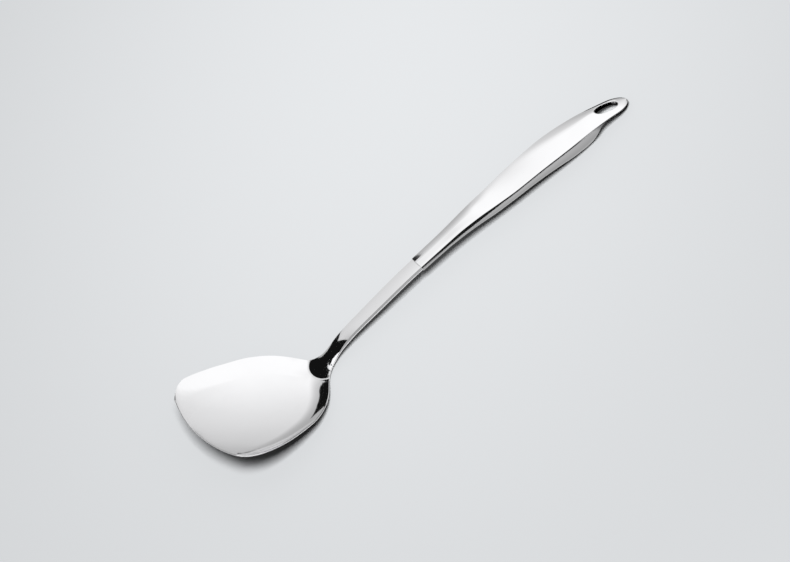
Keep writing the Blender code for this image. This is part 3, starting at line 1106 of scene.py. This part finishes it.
@dataclass
class HandleShell:
    """One half of the hollow handle, as its outer skin closed along the seam."""

    side: Side
    form: HandleForm
    hole: HangHole
    steel: PolishedSteel
    top_corner: float = 0.0006
    tab_corner: float = 0.0009
    corner_share: float = 0.40
    wall_draft: float = math.radians(6)
    seam_land: float = 0.0005
    seam_gap: float = 0.0003
    belly_squareness: float = 2.6
    nose_half_width: float = 0.0002
    grip_rows: int = 170
    tab_rows: int = 70
    end_rows: int = 44
    hole_lead: float = 0.012
    corner_steps: int = 12
    belly_steps: int = 40
    wall_steps: int = 3
    across_steps: int = 56
    crease_angle: float = math.radians(40)

    def stations(self) -> Array:
        """Spaces the sections, closer together at the hang hole and round the end.

        Returns:
            Their places along the tool.
        """
        line = self.form.line
        end = line.length - self.form.end_round
        tab = self.hole.centre - self.hole_lead
        last = math.acos(self.nose_half_width / float(self.form.width(np.array(end))))
        grip = np.linspace(line.mouth_at, tab, self.grip_rows + 1)
        middle = np.linspace(tab, end, self.tab_rows + 1)[1:]
        turns = np.linspace(0, last, self.end_rows + 1)[1:]
        return np.concatenate([grip, middle, end + self.form.end_round * np.sin(turns)])

    def top_profile(self, x: Array) -> tuple[Array, Array]:
        """Draws half of each top section, from the seam to the shoulder.

        Args:
            x: Places of the sections.

        Returns:
            The profile's insets and its heights, by section and step.
        """
        shoulder = self.form.shoulder(x)[:, None]
        radius = np.minimum(self.top_corner, self.corner_share * shoulder)
        lift = np.linspace(0, 1, self.wall_steps + 1)[:-1]
        wall = self.seam_gap / 2 + (shoulder - radius - self.seam_gap / 2) * lift
        turns = quarter_turn(self.corner_steps)
        rounding = np.concatenate([0 * wall, radius * (1 - np.cos(turns))], axis=1)
        height = np.concatenate([wall, shoulder - radius + radius * np.sin(turns)], axis=1)
        return rounding + height * math.tan(self.wall_draft), height

    def bottom_profile(self, x: Array) -> tuple[Array, Array]:
        """Draws half of each bottom section, from the seam to the flat of the belly.

        Args:
            x: Places of the sections.

        Returns:
            The profile's insets and its heights, by section and step.
        """
        depth = self.form.depth(x)[:, None]
        box = self.form.boxed(x)[:, None]
        width = self.form.width(x)[:, None]
        radius = np.minimum(np.minimum(self.tab_corner, self.corner_share * depth), width)
        turns = quarter_turn(self.belly_steps)
        power = 2 / self.belly_squareness
        square_inset = radius * (1 - np.cos(turns))
        square_depth = depth - radius + radius * np.sin(turns)
        round_inset = width * (1 - np.cos(turns).clip(0, 1) ** power)
        round_depth = self.seam_land + (depth - self.seam_land) * np.sin(turns) ** power
        inset = square_inset * box + round_inset * (1 - box)
        drop = square_depth * box + round_depth * (1 - box)
        zero, start = np.zeros_like(depth), self.seam_gap / 2
        inset = np.concatenate([zero, inset], axis=1)
        return inset, -np.concatenate([zero + start, np.maximum(drop, start)], axis=1)

    def skin(self) -> Array:
        """Lays the sections along the seam, with the crown and the hang hole's lip.

        Returns:
            Points in the tool frame, by section.
        """
        form, line = self.form, self.form.line
        x, step = self.stations(), line.fine_step
        slope = (form.width(x + step) - form.width(x - step)) / (2 * step)
        past_end = x > line.length - step
        slope[past_end] = slope[~past_end][-1]
        size = np.hypot(slope, 1)
        forward, sideways = (slope / size)[:, None], (1 / size)[:, None]
        top = self.side is Side.TOP
        inset, height = self.top_profile(x) if top else self.bottom_profile(x)
        crown = form.crown(x)[:, None] if top else 0
        edge_y = np.maximum(form.width(x)[:, None] - inset * sideways, 0)
        shares = np.linspace(1, -1, self.across_steps + 1)[1:-1]
        middle_y = edge_y[:, -1:] * shares
        middle_up = height[:, -1:] + crown * (1 - shares * shares)
        middle_inset = inset[:, -1:] + 0 * middle_y
        along = np.concatenate([inset, middle_inset, inset[:, ::-1]], axis=1) * forward
        across = np.concatenate([edge_y, middle_y, -edge_y[:, ::-1]], axis=1)
        up = np.concatenate([height, middle_up, height[:, ::-1]], axis=1)
        gap = self.hole.gap(x[:, None] + along - self.hole.centre, across)
        lowered = rounding_drop(gap, self.hole.lip_radius)
        up = up - self.side.value * np.where(abs(up) > self.seam_gap, lowered, 0)
        points = line.seam(x[:, None] + 0 * up, up)
        points[..., 0] += along
        points[..., 1] = across
        return points

    def build(self) -> Object:
        """Closes the skin, cuts the hang hole and finishes the shell.

        Returns:
            The finished shell.
        """
        skin = self.skin()
        rows, columns = skin.shape[:2]
        faces = grid_faces(rows, columns, closed=True).tolist()
        faces.append(list(range(columns)))
        faces.append(list(range((rows - 1) * columns, rows * columns)))
        points = self.form.line.laid(skin.reshape(-1, 3))
        shell = drawn_mesh(f"polished_{self.side.name.lower()}_shell", points, faces)
        shade(shell.data, self.crease_angle)
        cutter = self.hole.cutter()
        cut = shell.modifiers.new("Hang hole", "BOOLEAN")
        cut.operation = "DIFFERENCE"
        cut.solver = "EXACT"
        cut.object = cutter
        work_in_modifiers(shell)
        bpy.data.objects.remove(cutter)
        return finish(shell, self.steel.material(), self.crease_angle)


@dataclass
class BeadSweep(NodeTool):
    """Sweeps a round bead along the edges of a path."""

    bead_radius: float = 0.00035
    profile_steps: int = 10

    def nodes(self, tree: NodeTree, given: dict[str, Value]) -> Value:
        """Turns the path into a curve and sweeps a ring along it.

        Args:
            tree: The sweep's node tree.
            given: Its inputs.

        Returns:
            The bead, closed at both ends.
        """
        curve = tree.value("GeometryNodeMeshToCurve", {"Mesh": given["Geometry"]})
        sizes = {"Resolution": given["Profile Steps"], "Radius": given["Bead Radius"]}
        ring = tree.value("GeometryNodeCurvePrimitiveCircle", sizes)
        sweep = {"Curve": curve, "Profile Curve": ring, "Fill Caps": True}
        return tree.value("GeometryNodeCurveToMesh", sweep)


@dataclass
class SeamWeld:
    """The ground weld that joins the two shells: a fine bead that follows the seam."""

    form: HandleForm
    steel: PolishedSteel
    sweep: BeadSweep
    sunk: float = 0.0003
    nose_sunk: float = 0.0005
    path_step: float = 0.0008
    nose_steps: int = 39
    crease_angle: float = math.radians(60)

    def path(self) -> Array:
        """Follows the seam down one side of the handle, round its end and back.

        Returns:
            The path's points, on the table.
        """
        line, end_round = self.form.line, self.form.end_round
        end = line.length - end_round
        grip = np.arange(line.mouth_at + self.sunk, end, self.path_step)
        nose = end + end_round * np.sin(quarter_turn(self.nose_steps))
        x = np.concatenate([grip, np.minimum(nose, line.length - self.nose_sunk)])
        points = line.seam(x, 0 * x)
        points[:, 1] = np.maximum(self.form.width(x) - self.sunk, 0)
        points[-1, 1] = 0
        other = points[-2::-1] * np.array((1, -1, 1))
        return line.laid(np.concatenate([points, other]))

    def build(self) -> Object:
        """Sweeps the bead along the seam.

        Returns:
            The finished weld.
        """
        path = self.path()
        steel = self.steel.material()
        edges = [(first, first + 1) for first in range(len(path) - 1)]
        weld = drawn_mesh("seam_weld", path, [], edges)
        self.sweep.work_on(weld, steel)
        return finish(weld, steel, self.crease_angle)


@dataclass(frozen=True)
class Card:
    """An upright glowing card, which only the metal sees, from a start to an end on the floor plan:
    a painted reflection.

    Its brightness goes from the foot level at the floor to the top level at its top, and it can
    fade out towards its end and its top.
    """

    name: str
    start: Point
    end: Point
    foot: float = 0.0
    top: float = 1.0
    foot_level: float = 0.008
    top_level: float = 0.008
    side_fade: float = 0.0
    top_fade: float = 0.0

    def paint(self) -> Material:
        """Builds the card's glowing paint, which the metal shows as a painted reflection.

        Returns:
            A new material.
        """
        paint, tree = new_material(f"{self.name}_paint")
        paint.cycles.emission_sampling = "NONE"
        along, _, height = tree.coordinates("Object")
        level = height.eased(0, self.top).between(self.foot_level, self.top_level)
        # Painted reflection: this glow lights nothing and shows only in the metal
        glow = tree.value("ShaderNodeEmission", {"Strength": level})
        if self.side_fade or self.top_fade:
            beside = along.eased(self.end[0] - self.side_fade, self.end[0])
            above = height.eased(self.top - self.top_fade, self.top)
            clear = tree.value("ShaderNodeBsdfTransparent")
            solid = (1 - beside) * (1 - above)
            glow = tree.value("ShaderNodeMixShader", (solid, clear, glow))
        tree.add("ShaderNodeOutputMaterial", {"Surface": glow})
        return paint

    def build(self) -> Object:
        """Stands the card up.

        Returns:
            The card.
        """
        lower = [(*self.start, self.foot), (*self.end, self.foot)]
        upper = [(*self.end, self.top), (*self.start, self.top)]
        card = drawn_mesh(self.name, lower + upper, [(0, 1, 2, 3)])
        card.data.materials.append(self.paint())
        card.visible_camera = False
        card.visible_diffuse = False
        card.visible_shadow = False
        return card


@dataclass(frozen=True)
class SideCard(Card):
    """Dark card beside the blade's front, painting a dark reflection on the far edge of the neck.
    """

    name: str = "side_card"
    start: Point = (-0.2164, 0.0420)
    end: Point = (-0.390, 0.3415)
    foot: float = 0.280
    top: float = 1.100


@dataclass(frozen=True)
class BackCard(Card):
    """Dark card well behind the blade, painting a dark reflection on the wall at its back and the
    top of the neck.
    """

    name: str = "back_card"
    start: Point = (-0.250, 0.6214)
    end: Point = (0.061, 0.6214)
    foot: float = 0.110
    top: float = 0.500


@dataclass(frozen=True)
class NearCard(Card):
    """Dark card just behind the blade, painting a dark reflection on the crease and most of the
    neck.
    """

    name: str = "near_card"
    start: Point = (-0.1744, 0.0999)
    end: Point = (-0.0995, 0.0999)
    foot: float = 0.021
    top: float = 0.363


@dataclass(frozen=True)
class GreyCard(Card):
    """Soft grey card behind the others, painting the grey reflection that the blade takes on by its
    wall.
    """

    name: str = "grey_card"
    start: Point = (-0.700, 0.700)
    end: Point = (0.270, 0.700)
    top: float = 0.900
    foot_level: float = 0.50
    top_level: float = 0.92
    side_fade: float = 0.18
    top_fade: float = 0.30


@dataclass(frozen=True)
class HandleCard(Card):
    """Soft grey card behind the handle, painting a grey reflection along its far shoulder."""

    name: str = "handle_card"
    start: Point = (0.120, 0.300)
    end: Point = (0.400, 0.300)
    foot: float = 0.040
    top: float = 0.230
    foot_level: float = 0.58
    top_level: float = 0.85
    side_fade: float = 0.06
    top_fade: float = 0.07


@dataclass(frozen=True)
class View:
    """The camera: a long lens above the near side, turned so that the tool points up right."""

    turn: float = math.radians(31.5)
    height: float = math.radians(33.0)
    lift: float = math.radians(9.5)
    distance: float = 12.0
    right: float = 0.1348
    up: float = 0.1040
    picture_width: float = 0.5372
    sensor_width: float = 36

    def build(self, line: ToolLine) -> None:
        """Sets up the camera.

        Args:
            line: The tool's line, from whose front end the picture is placed.
        """
        turn, level = self.turn, math.cos(self.height)
        right = Vector((math.cos(turn), -math.sin(turn), 0))
        back = Vector((-math.sin(turn) * level, -math.cos(turn) * level, math.sin(self.height)))
        pitch = Matrix.Rotation(self.lift + line.rest_tilt, 3, "Y")
        right, back = pitch @ right, pitch @ back
        up = back.cross(right)
        target = Vector(line.laid(np.zeros(3))) + right * self.right + up * self.up
        data = bpy.data.cameras.new("camera")
        data.sensor_width = self.sensor_width
        data.lens = self.distance / self.picture_width * self.sensor_width
        camera = linked("camera", data)
        axes = Matrix((right, up, back)).transposed().to_4x4()
        camera.matrix_world = Matrix.Translation(target + back * self.distance) @ axes
        bpy.context.scene.camera = camera


@dataclass
class Floor:
    """The pale floor, with a painted pool of light round the picture's middle, which for the camera
    turns into an even sweep far away.

    The metal mirrors it as a painted reflection of its own: a dark strip before the tool, with
    painted shade under its tab.
    """

    view: View
    size: float = 12.0
    colour: Colour = (0.861, 0.880, 0.899)
    # Painted pool of light: the floor's colour darkens to this share of itself at the pool's edge
    edge_share: float = 0.79
    pool_right: float = -0.014
    pool_away: float = 0.285
    pool_width: float = 0.520
    pool_depth: float = 0.720
    sweep_start: float = 0.5
    sweep_end: float = 1.6
    sweep_level: float = 0.82
    # Painted reflection of the floor for the metal: a dark strip before the tool, with painted
    # shade under its tab
    strip_front: float = -0.040
    strip_back: float = 0.010
    dark_start: float = 0.165
    dark_back: float = 0.045
    soft_edge: float = 0.006

    def seen(self, tree: NodeTree, along: Value, across: Value) -> Value:
        """Paints the floor for the camera, with a painted pool of light round the picture's middle,
        whose colour falls off softly towards the edges.

        Args:
            tree: The floor's node tree.
            along: Place along the tool.
            across: Place across it.

        Returns:
            The shader.
        """
        cos, sin = math.cos(self.view.turn), math.sin(self.view.turn)
        right = (along * cos - across * sin - self.pool_right) / self.pool_width
        away = (along * sin + across * cos - self.pool_away) / self.pool_depth
        # Painted light: the floor's colour darkens away from the pool's middle, as a lamp's light
        # falls off
        painted_light_falloff = ((right * right + away * away) ** 0.5).eased(0, 1)
        painted_pool_tone = tree.darkened(painted_light_falloff, self.colour, self.edge_share)
        matt = tree.value("ShaderNodeBsdfDiffuse", {"Color": painted_pool_tone})
        even = {"Color": (*self.colour, 1), "Strength": self.sweep_level}
        sweep = tree.value("ShaderNodeEmission", even)
        reach = (along * along + across * across) ** 0.5
        far = reach.eased(self.sweep_start, self.sweep_end) * tree.ray(RayKind.CAMERA)
        return tree.value("ShaderNodeMixShader", (far, matt, sweep))

    def mirrored(self, tree: NodeTree, along: Value, across: Value) -> Value:
        """Paints a reflection of the floor that only the metal sees, with painted shade under the
        tab.

        Args:
            tree: The floor's node tree.
            along: Place along the tool.
            across: Place across it.

        Returns:
            The shader.
        """
        strip = (across - self.strip_front) / (self.strip_back - self.strip_front)
        # Painted shade under the tab: the mirrored floor goes dark past dark start along the tool
        # and short of dark back across it
        past_start = along.eased(self.dark_start - self.soft_edge, self.dark_start + self.soft_edge)
        past_back = across.eased(self.dark_back - self.soft_edge, self.dark_back + self.soft_edge)
        level = tree.ramp(strip, STUDIO_FLOOR_SHARES) * (1 - past_start * (1 - past_back))
        return tree.value("ShaderNodeEmission", {"Strength": level})

    def build(self) -> Object:
        """Lays the floor.

        Returns:
            The floor.
        """
        half = self.size / 2
        corners = [(-half, -half, 0), (half, -half, 0), (half, half, 0), (-half, half, 0)]
        floor = drawn_mesh("floor", corners, [(0, 1, 2, 3)])
        paint, tree = new_material("floor_paint")
        paint.cycles.emission_sampling = "NONE"
        along, across, _ = tree.coordinates("Object")
        seen, mirrored = self.seen(tree, along, across), self.mirrored(tree, along, across)
        surface = tree.value("ShaderNodeMixShader", (tree.ray(RayKind.GLOSSY), seen, mirrored))
        tree.add("ShaderNodeOutputMaterial", {"Surface": surface})
        floor.data.materials.append(paint)
        return floor


@dataclass
class Sky:
    """Light from all round: an even fill, and for the metal a brighter sky, shaded on one side."""

    fill_level: float = 0.10
    backdrop_level: float = 0.80
    shade_start: float = -0.25
    shade_end: float = 0.20
    shade_level: float = 0.45
    shade_front: float = 0.1
    shade_back: float = 0.4

    def build(self) -> None:
        """Sets up the world."""
        world = bpy.data.worlds.new("studio")
        bpy.context.scene.world = world
        world.use_nodes = True
        world.cycles.sampling_method = "NONE"
        tree = NodeTree(world.node_tree)
        along, across, height = tree.coordinates("Generated")
        level = along.eased(self.shade_start, self.shade_end).between(self.shade_level, 1)
        shaded = (1 - level) * across.eased(self.shade_front, self.shade_back)
        mirrored = tree.ramp(height, STUDIO_SKY_SHARES) * (1 - shaded)
        glossy, camera = tree.ray(RayKind.GLOSSY), tree.ray(RayKind.CAMERA)
        plain = camera * self.backdrop_level + (1 - camera) * self.fill_level
        strength = glossy * mirrored + (1 - glossy) * plain
        light = tree.value("ShaderNodeBackground", {"Color": (1, 1, 1, 1), "Strength": strength})
        tree.add("ShaderNodeOutputWorld", {"Surface": light})


@dataclass
class Softbox:
    """A soft square lamp above, a little towards the camera."""

    distance: float = 9.0
    size: float = 2.5
    power: float = 850.0
    lean: tuple[float, float, float] = (-0.10, -0.65, 1.0)

    def build(self) -> None:
        """Hangs the lamp."""
        data = bpy.data.lights.new("softbox", "AREA")
        data.shape = "SQUARE"
        data.size = self.size
        data.energy = self.power
        lamp = linked("softbox", data)
        lean = Vector(self.lean).normalized()
        lamp.location = lean * self.distance
        lamp.rotation_euler = lean.to_track_quat("Z", "Y").to_euler()
        lamp.visible_glossy = False


@dataclass
class Studio:
    """The tool's surroundings: the floor, the cards, the light and the camera."""

    line: ToolLine
    view: View = View()
    cards: tuple[Card, ...] = (SideCard(), BackCard(), NearCard(), GreyCard(), HandleCard())

    def build(self) -> None:
        """Sets up the surroundings."""
        Floor(self.view).build()
        for card in self.cards:
            card.build()
        Sky().build()
        Softbox().build()
        self.view.build(self.line)
        bpy.context.scene.cycles.caustics_reflective = False
        bpy.context.scene.view_settings.view_transform = "Standard"


def dress(piece: Object, slot: str, *nodes: str) -> None:
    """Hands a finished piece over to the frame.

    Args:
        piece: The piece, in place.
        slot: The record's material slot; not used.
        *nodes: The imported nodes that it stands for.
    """
    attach(piece, "root")
    if nodes:
        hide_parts(*nodes)
    LOG.info("%s: %d faces", piece.name, len(piece.data.polygons))


def main() -> None:
    """Builds the studio and the tool's pieces in order."""
    logging.basicConfig(level=logging.INFO, format="%(name)s: %(message)s")
    line = ToolLine()
    form = HandleForm(line)
    hole = HangHole(line)
    Studio(line).build()
    head = TurnerHead(line, PolishedSteel("polished_head"), StampingDie())
    dress(head.build(), "polished_head", "turner_head")
    for side, node in ((Side.TOP, "handle_top_shell"), (Side.BOTTOM, "handle_bottom_shell")):
        shell = HandleShell(side, form, hole, PolishedSteel(f"polished_{node}"))
        dress(shell.build(), f"polished_{node}", node)
    weld = SeamWeld(form, GroundSteel("ground_weld"), BeadSweep())
    dress(weld.build(), "polished_handle_top_shell")


if __name__ == "__main__":
    main()
